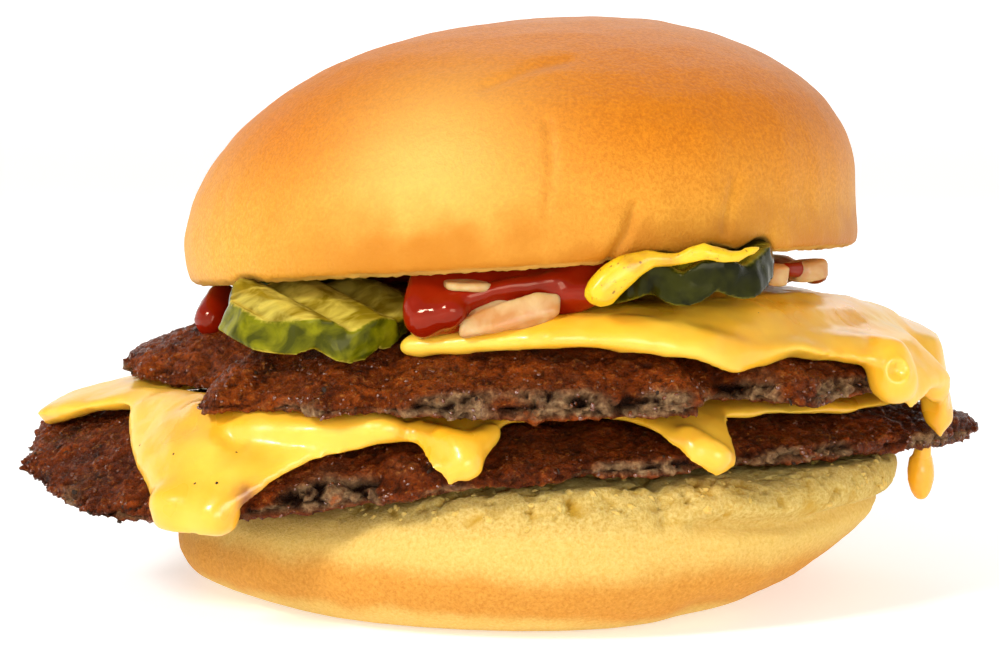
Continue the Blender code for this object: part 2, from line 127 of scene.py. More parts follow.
def add_flap(bm, rows, radii):
    """A soft drip or sheet: ribs side by side, each a string of round beads through all the rows.

    A row is one point or a line of points, in millimetres, and has its own bead radius. All rows
    have the same number of points.
    """
    spans = len(rows[0]) - 1
    widest = max(sum(math.dist(a, b) for a, b in zip(row, row[1:])) for row in rows)
    ribs = math.ceil(widest / (RIB_SPACING * min(radii)))
    for rib in range(ribs + 1):
        place = rib / max(ribs, 1) * spans
        low = min(int(place), max(spans - 1, 0))
        high = min(low + 1, spans)
        spots = [Vector(row[low]).lerp(Vector(row[high]), place - low) for row in rows]
        string = bmesh.new()
        for start, end, first, last in zip(spots, spots[1:], radii, radii[1:]):
            beads = math.ceil((end - start).length / BEAD_SPACING)
            for bead in range(beads + 1):
                share = bead / max(beads, 1)
                matrix = Matrix.Translation(mm(start.lerp(end, share)))
                radius = mm(first + (last - first) * share)
                bmesh.ops.create_icosphere(string, subdivisions=2, radius=radius, matrix=matrix)
        pour(string, bm)


MERGE_DISTANCE = 1e-6


def fine_copy(node, name, cell, softening, finer_past=None, flaps=(), padding=0):
    """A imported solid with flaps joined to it, remade as even cells of that size, then softened.

    Past a radius from the burger's middle, where given, the cells are halved. Padding thickens a
    thin sheet beforehand, so that no pit opens in it.
    """
    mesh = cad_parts[node].data.copy()
    mesh.materials.clear()
    bm = bmesh.new()
    bm.from_mesh(mesh)
    bmesh.ops.remove_doubles(bm, verts=bm.verts, dist=MERGE_DISTANCE)
    for rows, radii in flaps:
        add_flap(bm, rows, radii)
    bm.to_mesh(mesh)
    bm.free()
    obj = bpy.data.objects.new(name, mesh)
    bpy.context.scene.collection.objects.link(obj)
    if padding:
        swell = obj.modifiers.new("swell", "DISPLACE")
        swell.mid_level = 0
        swell.strength = padding
    cells = obj.modifiers.new("cells", "REMESH")
    cells.mode = "VOXEL"
    cells.voxel_size = cell
    soften = obj.modifiers.new("soften", "SMOOTH")
    soften.iterations = softening
    settle(obj)
    if finer_past:
        bm = bmesh.new()
        bm.from_mesh(obj.data)
        outer = [
            edge for edge in bm.edges
            if (edge.verts[0].co + edge.verts[1].co).xy.length / 2 > finer_past
        ]
        bmesh.ops.subdivide_edges(bm, edges=outer, cuts=1, use_grid_fill=True)
        bm.to_mesh(obj.data)
        bm.free()
        obj.data.shade_smooth()
    return obj


def raise_relief(obj, shape, *marks):
    """Moves each vertex along its normal by the first value of shape(point, normal).

    The other values are kept as attributes with the names in marks, for the material to read.
    """
    mesh = obj.data
    normals = [normal.vector.copy() for normal in mesh.vertex_normals]
    results = [shape(vert.co, normal) for vert, normal in zip(mesh.vertices, normals)]
    for vert, normal, result in zip(mesh.vertices, normals, results):
        vert.co += normal * result[0]
    for place, mark in enumerate(marks, 1):
        attribute = mesh.attributes.new(mark, "FLOAT", "POINT")
        attribute.data.foreach_set("value", [result[place] for result in results])


def finish_piece(obj, material, node):
    """The piece takes its material, and stands for its node on the burger's one body."""
    obj.data.materials.append(material)
    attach(obj, "root")
    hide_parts(node)


BREAD_CELL, HEEL_SOFTENING = mm(0.62), 8
FOLD_START, FOLD_END = math.radians(-62), math.radians(4)
FOLD_HEIGHTS = mm(15.4), mm(15.2)
FOLD_SAG, FOLD_DEPTH, FOLD_WIDTH, FOLD_LIP = mm(1.4), mm(1.7), mm(1), mm(1.1)
CUT_EDGE_DEPTH = mm(0.9)
NOTCH_PLACE = Vector((mm(27), mm(-38), mm(1)))
NOTCH_DEPTH, NOTCH_RADIUS = mm(1.6), mm(3.5)
CRUMB_STARTS, RAGGED_STARTS = (mm(13), mm(17)), (mm(16), mm(19))
PORE_WIDTH, TEAR_WIDTH, HOLE_WIDTH = mm(1.1), mm(3.2), mm(2.1)
PORE_DEPTH, SWELL_HEIGHT, SKIN_HEIGHT = mm(0.1), mm(0.35), mm(0.05)


def heel_shape(point, normal):
    """A fold on the right, a notch at the foot, pores and tears in the crumb, fine skin below."""
    angle = math.atan2(point.y, point.x)
    along = (angle - FOLD_START) / (FOLD_END - FOLD_START)
    fold_height = FOLD_HEIGHTS[0] + (FOLD_HEIGHTS[1] - FOLD_HEIGHTS[0]) * along
    fold_height -= FOLD_SAG * math.sin(math.pi * along)
    inside = step(0, 0.08, along) * step(1, 0.85, along)
    off = (point.z - fold_height) / FOLD_WIDTH
    fold = -FOLD_DEPTH * inside * math.exp(-off * off)
    fold += FOLD_LIP * inside * step(0.5, 2.5, off) * step(7, 3.5, off)
    cut_edge = -CUT_EDGE_DEPTH * math.exp(-((along + 0.03) / 0.02) ** 2)
    cut_edge *= step(mm(14), mm(17), point.z)
    notch = -NOTCH_DEPTH * math.exp(-((point - NOTCH_PLACE).length / NOTCH_RADIUS) ** 2)
    crumb = step(*CRUMB_STARTS, point.z) if inside < 0.5 else step(-0.5, 1.5, off)
    sides = step(mm(1), mm(4), point.z)
    pores = noise.voronoi(point / PORE_WIDTH)[0][0] - 0.45
    torn = noise.fractal(point / TEAR_WIDTH + Vector((7, 0, 0)), 0.7, 2.1, 4)
    swell = noise.noise(point / mm(9)) * SWELL_HEIGHT * sides
    skin = noise.fractal(point / mm(1.6), 0.8, 2, 3) * SKIN_HEIGHT * sides
    holes = step(0.4, 0.8, noise.fractal(point / HOLE_WIDTH + Vector((0, 9, 0)), 0.5, 2.2, 3))
    move = fold + cut_edge + notch + swell + skin
    ragged = step(*RAGGED_STARTS, point.z)
    pitted = PORE_DEPTH * pores + mm(0.3 + 0.7 * ragged) * max(0, torn)
    pitted += mm(0.5 + 0.8 * ragged) * holes
    move -= crumb * pitted
    return move, crumb, min(1, max(0, torn) + 0.7 * holes) * crumb


heel = fine_copy("bun_heel", "heel_bread", BREAD_CELL, HEEL_SOFTENING)
raise_relief(heel, heel_shape, "crumb", "torn")

# Steamed and toasted wheat bread: the crumb is pale, matte and lets light in, and the tray's heat
# browned a band of the skin to gold. Grain of about half a millimetre shows as speckle.
bread, tree, shader = new_material("soft_bread_heel")
place = add(tree, "ShaderNodeTexCoord").outputs["Object"]
height = add(tree, "ShaderNodeSeparateXYZ", {0: place}).outputs["Z"]
drift = add(tree, "ShaderNodeTexNoise", {"Vector": place, "Scale": 60, "Detail": 5}).outputs[0]
wander = add(
    tree, "ShaderNodeMath", {0: drift, 1: mm(7), 2: mm(-3.5)}, operation="MULTIPLY_ADD"
).outputs[0]
level = add(tree, "ShaderNodeMath", {0: height, 1: wander}, operation="ADD").outputs[0]
rising = add(
    tree, "ShaderNodeMapRange", {VALUE: level, LOW: mm(1.6), HIGH: mm(4.4)},
    interpolation_type="SMOOTHSTEP",
).outputs[0]
fading = add(
    tree, "ShaderNodeMapRange", {VALUE: level, LOW: mm(12), HIGH: mm(7.5)},
    interpolation_type="SMOOTHSTEP",
).outputs[0]
band = add(tree, "ShaderNodeMath", {0: rising, 1: fading}, operation="MULTIPLY").outputs[0]
speck = add(
    tree, "ShaderNodeTexNoise", {"Vector": place, "Scale": 2000, "Detail": 3, "Roughness": 0.7}
).outputs[0]
mottle = add(tree, "ShaderNodeMapRange", {VALUE: speck, LOW: 0.3, HIGH: 0.7}).outputs[0]
pale = add(
    tree, "ShaderNodeMix", {FACTOR: mottle, FROM: linear("#CFA650"), TO: linear("#E0BE6E")},
    data_type="RGBA",
).outputs[MIXED]
gold = add(
    tree, "ShaderNodeMix", {FACTOR: mottle, FROM: linear("#BC7C2E"), TO: linear("#D69A44")},
    data_type="RGBA",
).outputs[MIXED]
skin = add(
    tree, "ShaderNodeMix", {FACTOR: band, FROM: pale, TO: gold}, data_type="RGBA"
).outputs[MIXED]
crumb = add(tree, "ShaderNodeAttribute", attribute_name="crumb").outputs["Fac"]
torn = add(tree, "ShaderNodeAttribute", attribute_name="torn").outputs["Fac"]
sponge = add(
    tree, "ShaderNodeMix", {FACTOR: mottle, FROM: linear("#B6913E"), TO: linear("#D6BC74")},
    data_type="RGBA",
).outputs[MIXED]
toast = add(tree, "ShaderNodeMapRange", {VALUE: torn, LOW: 0.15, HIGH: 0.9}).outputs[0]
warmed = add(
    tree, "ShaderNodeMix", {FACTOR: toast, FROM: sponge, TO: linear("#B98F30")}, data_type="RGBA"
).outputs[MIXED]
colour = add(
    tree, "ShaderNodeMix", {FACTOR: crumb, FROM: skin, TO: warmed}, data_type="RGBA"
).outputs[MIXED]
grain = add(
    tree, "ShaderNodeBump", {"Height": speck, "Strength": 0.6, "Distance": mm(0.4)}
).outputs[0]
tree.links.new(colour, shader.inputs["Base Color"])
tree.links.new(grain, shader.inputs["Normal"])
shader.inputs["Roughness"].default_value = 0.75
shader.inputs["Specular IOR Level"].default_value = 0.15
shader.inputs["Specular Tint"].default_value = linear("#FFDCA0")
shader.inputs["Subsurface Weight"].default_value = 0.25
shader.inputs["Subsurface Radius"].default_value = (1, 0.6, 0.25)
shader.inputs["Subsurface Scale"].default_value = mm(1.5)
finish_piece(heel, bread, "bun_heel")

# Patties: ground beef smashed thin on a hot griddle, seared dark on its faces and torn grey-brown
# at the rim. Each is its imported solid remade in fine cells, the rim's cells halved, with the lumps,
# grains and pits of the mince worked into it.
PATTY_CELL, PATTY_SOFTENING = mm(0.84), 1
RIM_START = mm(43)
LUMP, GRAIN, FIBRE, GRIT, POCKET = mm(4.2), mm(1.9), mm(3.2), mm(1.3), mm(3.4)
CHUNK_HEIGHT, GAP_DEPTH, POCKET_DEPTH, RAGGED_HEIGHT = mm(0.9), mm(0.7), mm(1.8), mm(0.9)
FIBRE_HEIGHT, GRIT_HEIGHT, GRAIN_HEIGHT, CRACK_DEPTH = mm(1.2), mm(0.4), mm(0.45), mm(0.2)
MEAT_BEND, MEAT_SHRINK = mm(1.1), mm(0.25)
NOISE_MIDDLE = 0.42  # so that lumps and fibres go in about as far as they come out


def nearness(point, spots):
    """For each spot and radius, in millimetres: 1 at the spot, and nothing well past the radius."""
    return [math.exp(-((point * 1000 - Vector(spot)).length / size) ** 2) for spot, size in spots]


def meat_shape(seed, scraps):
    """The relief of one patty: fine grit where it is seared, chunks and holes where it is torn.

    The scraps are the torn places that the picture shows, each with its radius, in millimetres.
    """
    offset = Vector((seed, seed * 0.7, 0))

    def shape(point, normal):
        bare = max(nearness(point, scraps))
        side = step(0.92, 0.45, abs(normal.z)) * step(mm(38), mm(46), point.xy.length)
        warp = Vector([noise.noise(point / FIBRE + offset * axis) for axis in (1, 2, 3)])
        bent = point + MEAT_BEND * warp
        near, second = noise.voronoi(bent / LUMP + offset)[0][:2]
        grain, next_grain = noise.voronoi(bent / GRAIN + offset)[0][:2]
        fibres = noise.turbulence(bent / FIBRE + offset, 4, True)
        grit = noise.fractal(bent / GRIT + offset, 0.55, 2.2, 4)
        worn = noise.noise(point / mm(8) + offset * 2)
        torn = side * step(0.15, 0.5, bare + 0.8 * worn - 0.3 * normal.z)
        sunk = noise.noise(bent / POCKET + offset * 3)
        pocket = step(0.26 - 0.14 * torn, 0.5 - 0.12 * torn, sunk) * side
        gaps = step(0.22, 0.0, second - near)
        cracks = step(0.2, 0.0, next_grain - grain)
        ragged = noise.noise(point / mm(6.5) + offset * 4)
        chunks = CHUNK_HEIGHT * (NOISE_MIDDLE - near) - GAP_DEPTH * gaps * torn
        coarse = side * (chunks - POCKET_DEPTH * pocket) - MEAT_SHRINK
        coarse += side * RAGGED_HEIGHT * ragged
        fine = (0.25 + 0.25 * side + 0.6 * torn) * FIBRE_HEIGHT * (NOISE_MIDDLE - fibres)
        fine += GRIT_HEIGHT * grit
        fine += (0.35 + 0.65 * torn) * (GRAIN_HEIGHT * (0.35 - grain) - CRACK_DEPTH * cracks)
        # How deep the point lies in the crevices: the material paints shade in them and a highlight
        # on the tips.
        hollow = 0.4 - fine / mm(1.5) + (0.5 - 0.25 * torn) * pocket + 0.2 * gaps * side
        return coarse + fine, torn, min(1, max(0, hollow))

    return shape


def seared_meat(name, crust, rust, scorched):
    """Griddled beef: red-brown on its lumps and grey-brown where it is torn, with painted shade,
    nearly black, in its pits and a painted highlight on its tips.

    Rendered fat wets it, so that its small lumps sparkle.
    """
    made, tree, shader = new_material(name)
    place = add(tree, "ShaderNodeTexCoord").outputs["Object"]
    patches = add(
        tree, "ShaderNodeTexNoise", {"Vector": place, "Scale": 190, "Detail": 6, "Roughness": 0.7}
    ).outputs[0]
    fine = add(
        tree, "ShaderNodeTexNoise", {"Vector": place, "Scale": 1300, "Detail": 5, "Roughness": 0.75}
    ).outputs[0]
    hollow = add(tree, "ShaderNodeAttribute", attribute_name="hollow").outputs["Fac"]
    torn = add(tree, "ShaderNodeAttribute", attribute_name="torn").outputs["Fac"]
    seared = add(tree, "ShaderNodeMapRange", {VALUE: patches, LOW: 0.4, HIGH: 0.6}).outputs[0]
    brown = add(
        tree, "ShaderNodeMix", {FACTOR: seared, FROM: linear(crust), TO: linear(rust)},
        data_type="RGBA",
    ).outputs[MIXED]
    charred = add(tree, "ShaderNodeMapRange", {VALUE: patches, LOW: 0.4, HIGH: 0.32}).outputs[0]
    seal = add(
        tree, "ShaderNodeMix", {FACTOR: charred, FROM: brown, TO: linear(scorched)},
        data_type="RGBA",
    ).outputs[MIXED]
    # Painted shade and highlight at the bump's scale: near-black specks where the fine bump dips,
    # light specks on its tips.
    burnt = add(
        tree, "ShaderNodeMapRange", {VALUE: fine, LOW: 0.49, HIGH: 0.36, TO_HIGH: 0.85}
    ).outputs[0]
    specked = add(
        tree, "ShaderNodeMix", {FACTOR: burnt, FROM: seal, TO: linear("#220902")}, data_type="RGBA"
    ).outputs[MIXED]
    crisp = add(
        tree, "ShaderNodeMapRange", {VALUE: fine, LOW: 0.56, HIGH: 0.7, TO_HIGH: 0.8}
    ).outputs[0]
    crusted = add(
        tree, "ShaderNodeMix", {FACTOR: crisp, FROM: specked, TO: linear("#BC7634")},
        data_type="RGBA",
    ).outputs[MIXED]
    flecks = add(tree, "ShaderNodeMapRange", {VALUE: fine, LOW: 0.4, HIGH: 0.64}).outputs[0]
    meat = add(
        tree, "ShaderNodeMix", {FACTOR: flecks, FROM: linear("#6E4A30"), TO: linear("#B08C62")},
        data_type="RGBA",
    ).outputs[MIXED]
    body = add(
        tree, "ShaderNodeMix", {FACTOR: torn, FROM: crusted, TO: meat}, data_type="RGBA"
    ).outputs[MIXED]
    # Painted highlight: the tips of the relief are lightened.
    peak = add(
        tree, "ShaderNodeMapRange", {VALUE: hollow, LOW: 0.3, HIGH: 0.0, TO_LOW: 0, TO_HIGH: 0.5}
    ).outputs[0]
    fatty = add(
        tree, "ShaderNodeMapRange", {VALUE: patches, LOW: 0.61, HIGH: 0.68, TO_HIGH: 0.6}
    ).outputs[0]
    basted = add(
        tree, "ShaderNodeMix", {FACTOR: fatty, FROM: body, TO: linear("#B4501A")}, data_type="RGBA"
    ).outputs[MIXED]
    raised = add(
        tree, "ShaderNodeMix", {FACTOR: peak, FROM: basted, TO: linear("#A8682E")}, data_type="RGBA"
    ).outputs[MIXED]
    # Painted shade: the crevices of the relief are darkened to nearly black.
    depth = add(tree, "ShaderNodeMapRange", {VALUE: hollow, LOW: 0.38, HIGH: 0.95}).outputs[0]
    colour = add(
        tree, "ShaderNodeMix", {FACTOR: depth, FROM: raised, TO: linear("#1E0A03")},
        data_type="RGBA",
    ).outputs[MIXED]
    wet = add(
        tree, "ShaderNodeMapRange", {VALUE: fine, LOW: 0.4, HIGH: 0.6, TO_LOW: 0.42, TO_HIGH: 0.12}
    ).outputs[0]
    bump = add(
        tree, "ShaderNodeBump", {"Height": fine, "Strength": 1, "Distance": mm(0.8)}
    ).outputs[0]
    tree.links.new(colour, shader.inputs["Base Color"])
    tree.links.new(wet, shader.inputs["Roughness"])
    tree.links.new(bump, shader.inputs["Normal"])
    tree.links.new(bump, shader.inputs["Coat Normal"])
    shader.inputs["Specular IOR Level"].default_value = 0.1
    shader.inputs["Specular Tint"].default_value = linear("#FFC890")
    shader.inputs["Coat Weight"].default_value = 0.16
    shader.inputs["Coat Roughness"].default_value = 0.08
    return made


# The torn places of the lower patty's rim, from left to right.
LOWER_SCRAPS = (
    ((-64, -8, 17), 5.5), ((-55, -25, 15.5), 6), ((-22, -48, 20.5), 7.5), ((-12, -47, 25), 5),
    ((20, -47, 24), 6.5), ((38, -38, 24), 6.5), ((50, -30, 26), 6), ((64, -14, 27), 6),
)
lower_patty = fine_copy("patty_lower", "lower_beef_patty", PATTY_CELL, PATTY_SOFTENING, RIM_START)
raise_relief(lower_patty, meat_shape(3, LOWER_SCRAPS), "torn", "hollow")
dark_beef = seared_meat("seared_beef_dark", "#521B03", "#823409", "#240B02")
finish_piece(lower_patty, dark_beef, "patty_lower")

# Cheese: slices of soft processed cheese, melted over each patty until they sag and drip.
# Each is its packed slice with soft swells and drips joined on, remade in fine cells and softened,
# with slow waves that follow the flow.
CHEESE_SOFTENING, CHEESE_PADDING = 22, mm(0.3)
WAVE_HEIGHT, BUMP_HEIGHT, RIPPLE_HEIGHT = mm(0.3), mm(0.25), mm(0.06)
DIMPLE = Vector((mm(53.3), mm(-32), mm(34.4)))
DIMPLE_RADIUS, DIMPLE_RIM, DIMPLE_DEPTH = mm(1.5), mm(0.5), mm(0.9)
STAINS = (
    ((-32.5, -48.5, 19.5), 2.4), ((-53, -13, 31), 1.6),
    ((-34, -43, 27), 1.2), ((-14, -44, 31), 1.8),
)


def melted_shape(seed):
    """Waves that follow the flow, small bumps, one dimple, and stains where meat juice ran."""
    offset = Vector((seed, 0, seed))

    def shape(point, normal):
        angle = math.atan2(point.y, point.x)
        radius = math.hypot(point.x, point.y)
        flow = Vector((angle * 11, radius / mm(26), point.z / mm(20)))
        waves = noise.noise(flow + offset) * step(mm(18), mm(40), radius) * step(1.1, 0.5, normal.z)
        bumps = noise.noise(point / mm(6) + offset)
        ripples = noise.fractal(point / mm(2.2) + offset, 0.8, 2, 3)
        ring = (point - DIMPLE).length / DIMPLE_RADIUS
        dimple = DIMPLE_RIM * math.exp(-((ring - 1) * 3) ** 2)
        dimple -= DIMPLE_DEPTH * math.exp(-ring * ring * 1.6)
        stain = sum(nearness(point, STAINS)) * (0.8 + 0.8 * ripples)
        move = WAVE_HEIGHT * waves + BUMP_HEIGHT * bumps + RIPPLE_HEIGHT * ripples + dimple
        return move, max(0, min(1, stain))

    return shape


# Processed cheese: opaque golden yellow with light inside it, wet and smooth from melting.
cheese, tree, shader = new_material("melted_cheese")
place = add(tree, "ShaderNodeTexCoord").outputs["Object"]
clouds = add(tree, "ShaderNodeTexNoise", {"Vector": place, "Scale": 90, "Detail": 3}).outputs[0]
tint = add(tree, "ShaderNodeMapRange", {VALUE: clouds, LOW: 0.35, HIGH: 0.65}).outputs[0]
gold = add(
    tree, "ShaderNodeMix", {FACTOR: tint, FROM: linear("#F2AD20"), TO: linear("#F8C23C")},
    data_type="RGBA",
).outputs[MIXED]
stain = add(tree, "ShaderNodeAttribute", attribute_name="stain").outputs["Fac"]
colour = add(
    tree, "ShaderNodeMix", {FACTOR: stain, FROM: gold, TO: linear("#8A4E0E")}, data_type="RGBA"
).outputs[MIXED]
fine = add(tree, "ShaderNodeTexNoise", {"Vector": place, "Scale": 420, "Detail": 4}).outputs[0]
gloss = add(
    tree, "ShaderNodeMapRange", {VALUE: clouds, LOW: 0.3, HIGH: 0.7, TO_LOW: 0.24, TO_HIGH: 0.42}
).outputs[0]
bump = add(
    tree, "ShaderNodeBump", {"Height": fine, "Strength": 0.12, "Distance": mm(0.6)}
).outputs[0]
tree.links.new(colour, shader.inputs["Base Color"])
tree.links.new(gloss, shader.inputs["Roughness"])
tree.links.new(bump, shader.inputs["Normal"])
shader.inputs["Subsurface Weight"].default_value = 0.35
shader.inputs["Subsurface Radius"].default_value = (1, 0.55, 0.12)
shader.inputs["Subsurface Scale"].default_value = mm(1.8)
shader.inputs["Coat Weight"].default_value = 0.3
shader.inputs["Coat Roughness"].default_value = 0.13

# What the lower slice's solid is too plain for: the big drape on the left with its thick foot, the
# band at the far left, the swell under the upper patty's rim, and rounded drips at the front.
DRAPE = (
    ((-50, -17.5, 26.4), (-48.6, -26, 23.6), (-46.2, -34, 21.2), (-43.8, -41.6, 18.8)),
    ((-46, -17, 27.8), (-44.6, -28, 26), (-42, -36.5, 23.6), (-39.6, -44.4, 19.2)),
    ((-40, -24, 28.4), (-39, -33, 27), (-37.4, -40.5, 24.2), (-36.2, -46.2, 19.2)),
)
LEFT_BAND = (
    ((-65.6, -1.5, 23.6), (-62.6, -5, 24.9), (-57.5, -8, 26.4), (-50, -13, 27.2)),
    ((-63, 3, 25), (-60, 0, 26.2), (-54, -3, 27.6), (-47, -9, 28.2)),
)
SWELL_UNDER_RIM = (
    ((-41, -29, 28.4), (-34, -36, 28.6), (-25, -41, 28.8), (-15, -43, 29)),
    ((-40.6, -33, 27.2), (-32.6, -39.8, 27.4), (-24, -43.8, 27.8), (-14, -45.2, 28.4)),
)
LOWER_FLAPS = (
    (LEFT_BAND, (0.8, 1)),
    (SWELL_UNDER_RIM, (1.6, 1.5)),
    (DRAPE, (1.8, 2, 2)),
    ((((-43.4, -42.4, 18.2),), ((-36.6, -46.4, 17.4),)), (2.6, 2.9)),
    ((((-10.5, -44.4, 28.2),), ((-5.4, -48.4, 26.6),), ((-4.2, -50, 24.6),)), (1.4, 2, 2.1)),
    ((((-1, -45.4, 28),), ((-4, -48.8, 26),)), (1.3, 2)),
    ((((24.2, -43.2, 27.4),), ((28.2, -44.6, 24.6),)), (1.4, 2)),
)
lower_cheese = fine_copy(
    "cheese_lower", "lower_cheese_slice", mm(0.56), CHEESE_SOFTENING,
    flaps=LOWER_FLAPS, padding=CHEESE_PADDING,
)
raise_relief(lower_cheese, melted_shape(2), "stain")
finish_piece(lower_cheese, cheese, "cheese_lower")

# The upper patty and its slice of cheese lie on the lower ones and are made in the same way.
# This patty is a little lighter and redder, and is torn at the front and on the right.
UPPER_SCRAPS = (
    ((-10, -48, 31.8), 4.5), ((8, -48, 32.5), 7), ((22, -46, 32.8), 6), ((36, -36, 35), 5),
    ((43, -31, 34.5), 8), ((50, -29, 33), 6.5),
)
upper_patty = fine_copy("patty_upper", "upper_beef_patty", PATTY_CELL, PATTY_SOFTENING, RIM_START)
raise_relief(upper_patty, meat_shape(11, UPPER_SCRAPS), "torn", "hollow")
brown_beef = seared_meat("seared_beef_brown", "#5C1F02", "#8E3C09", "#2C0F02")
finish_piece(upper_patty, brown_beef, "patty_upper")

# The upper slice's rolled front edge, from its thin left tip to the fold on the right, its swell
# over the patty's shoulder, and the fat tongue and drips at the right.
ROLLED_EDGE = (
    (
        (-10, -38, 38.9), (-2, -38.6, 40), (8, -39.6, 41.4), (18, -40, 41),
        (27, -38.5, 39.6), (33, -36, 38), (40, -29.5, 39), (49, -24.5, 38),
    ),
    (
        (-11, -39.6, 39), (-2.6, -41.8, 40.2), (7.4, -43.6, 41.7), (17.6, -44.2, 41.8),
        (26.6, -43, 40.2), (32.4, -40, 38), (39.4, -32.6, 38.8), (49.4, -26.8, 37.4),
    ),
    (
        (-12.2, -40.6, 38.6), (-3, -43.6, 39.4), (7, -45.6, 40.2), (17, -46.2, 40),
        (25.4, -45.2, 38.6), (30.4, -42.2, 36.4), (38.4, -34.6, 37.6), (49, -28.6, 36.2),
    ),
)
CHEESE_SWELL = (
    (
        (10, -36, 42.2), (22, -34, 42.4), (33, -29, 42.6),
        (41, -20, 42.2), (48, -10, 40.8), (54, 0, 38.6),
    ),
    (
        (10, -39.6, 42), (22, -38.6, 42), (33.5, -33.5, 41.6),
        (43, -24, 40.8), (50.5, -12.5, 39.6), (56, -2, 38),
    ),
    (
        (10, -42.6, 41.6), (22, -42.4, 41.2), (33, -37.6, 39.8),
        (43.5, -28, 38.8), (52, -16, 37.8), (57.5, -5, 36.6),
    ),
)
UPPER_FLAPS = (
    (ROLLED_EDGE, (0.9, 1.2, 1.2)),
    (CHEESE_SWELL, (1.7, 1.6, 1.3)),
    ((((51, -27, 36.6),), ((52.4, -28.6, 35.6),), ((53.2, -28.8, 32.8),)), (2.2, 3, 3.3)),
    ((((57.6, -14, 34),), ((60.8, -13.6, 30),), ((61.8, -13, 25.8),)), (1.6, 2, 2.1)),
    ((((57, -20, 34.4),), ((60.4, -17.6, 30),)), (1.6, 1.8)),
)
upper_cheese = fine_copy(
    "cheese_upper", "upper_cheese_slice", mm(0.55), CHEESE_SOFTENING,
    flaps=UPPER_FLAPS, padding=CHEESE_PADDING,
)
raise_relief(upper_cheese, melted_shape(5), "stain")
finish_piece(upper_cheese, cheese, "cheese_upper")

# Cheese drop: a drop of the same cheese that ran down and set under the lower patty's right end.
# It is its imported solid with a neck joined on, remade in finer cells than the slices.
DROP_NECK = ((((60.3, -7.2, 17.6),), ((60.4, -8, 20.6),)), (1.6, 1.3))
drop = fine_copy("cheese_drop", "cheese_drop_set", mm(0.3), 4, flaps=(DROP_NECK,))
raise_relief(drop, melted_shape(8), "stain")
finish_piece(drop, cheese, "cheese_drop")

# Pickle chips: cucumber cured in vinegar, cut across with a waved blade, wet and translucent.
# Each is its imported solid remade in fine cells. The skin round it is marked in the mesh, so that
# flesh and skin take their own colours.


CHIP_RELIEF = mm(0.16)


def chip_shape(node):
    """Seeds on the flesh and warts on the skin, which is where the surface faces sideways."""
    low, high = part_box(node)
    centre = (low + high) / 2
    half = max(high.x - low.x, high.y - low.y) / 2

    def shape(point, normal):
        share = math.hypot(point.x - centre.x, point.y - centre.y) / half
        skin = step(0.85, 0.55, abs(normal.z)) * step(0.7, 0.85, share)
        seeds = noise.voronoi(point / mm(1.7))[0][0]
        warts = noise.noise(point / mm(1.8) + Vector((4, 0, 0)))
        move = (1 - skin) * CHIP_RELIEF * (0.45 - seeds) * step(0.85, 0.6, share)
        return move + skin * CHIP_RELIEF * warts, skin

    return shape


def cured_cucumber(name, flesh_dark, flesh_light, skin_dark, skin_light):
    """Cured cucumber: glassy flesh paler between its seeds, and a thin darker skin."""
    made, tree, shader = new_material(name)
    place = add(tree, "ShaderNodeTexCoord").outputs["Object"]
    skin = add(tree, "ShaderNodeAttribute", attribute_name="skin").outputs["Fac"]
    patches = add(
        tree, "ShaderNodeTexNoise", {"Vector": place, "Scale": 260, "Detail": 4, "Distortion": 0.6}
    ).outputs[0]
    tint = add(tree, "ShaderNodeMapRange", {VALUE: patches, LOW: 0.38, HIGH: 0.62}).outputs[0]
    flesh = add(
        tree, "ShaderNodeMix", {FACTOR: tint, FROM: linear(flesh_dark), TO: linear(flesh_light)},
        data_type="RGBA",
    ).outputs[MIXED]
    rind = add(
        tree, "ShaderNodeMix", {FACTOR: tint, FROM: linear(skin_dark), TO: linear(skin_light)},
        data_type="RGBA",
    ).outputs[MIXED]
    colour = add(
        tree, "ShaderNodeMix", {FACTOR: skin, FROM: flesh, TO: rind}, data_type="RGBA"
    ).outputs[MIXED]
    bump = add(
        tree, "ShaderNodeBump", {"Height": patches, "Strength": 0.25, "Distance": mm(0.5)}
    ).outputs[0]
    tree.links.new(colour, shader.inputs["Base Color"])
    tree.links.new(bump, shader.inputs["Normal"])
    shader.inputs["Roughness"].default_value = 0.22
    shader.inputs["Specular IOR Level"].default_value = 0.12
    shader.inputs["Specular Tint"].default_value = linear("#F4E8B0")
    shader.inputs["Subsurface Weight"].default_value = 0.25
    shader.inputs["Subsurface Radius"].default_value = (0.7, 0.8, 0.2)
    shader.inputs["Subsurface Scale"].default_value = mm(1.5)
    shader.inputs["Coat Weight"].default_value = 0.08
    shader.inputs["Coat Roughness"].default_value = 0.08
    return made


CHIPS = {
    "pickle_left": ("#8A7410", "#D2BC4C", "#3C3D02", "#7E7A08"),
    # The back chip has the front chip's colours darkened: painted shade, as it lies in shade behind
    # the front chip.
    "pickle_left_back": ("#4E4A12", "#857A24", "#23300C", "#44500E"),
    "pickle_right": ("#3E3C06", "#6E6412", "#101302", "#2A2B04"),
}
for node, colours in CHIPS.items():
    chip = fine_copy(node, node.replace("pickle", "pickle_chip"), mm(0.4), 2)
    raise_relief(chip, chip_shape(node), "skin")
    finish_piece(chip, cured_cucumber("cured_" + node, *colours), node)

# Onion: pieces of a raw white layer, wet and translucent, with faint veins. Their warm orange tint is
# painted light, the glow that the cheese casts on them.
# Each is its imported solid remade in fine cells and softened, and the front one is thickened.
onion, tree, shader = new_material("raw_onion")
place = add(tree, "ShaderNodeTexCoord").outputs["Object"]
veins = add(
    tree, "ShaderNodeTexNoise", {"Vector": place, "Scale": 300, "Detail": 3, "Distortion": 0.4}
).outputs[0]
tint = add(tree, "ShaderNodeMapRange", {VALUE: veins, LOW: 0.35, HIGH: 0.65}).outputs[0]
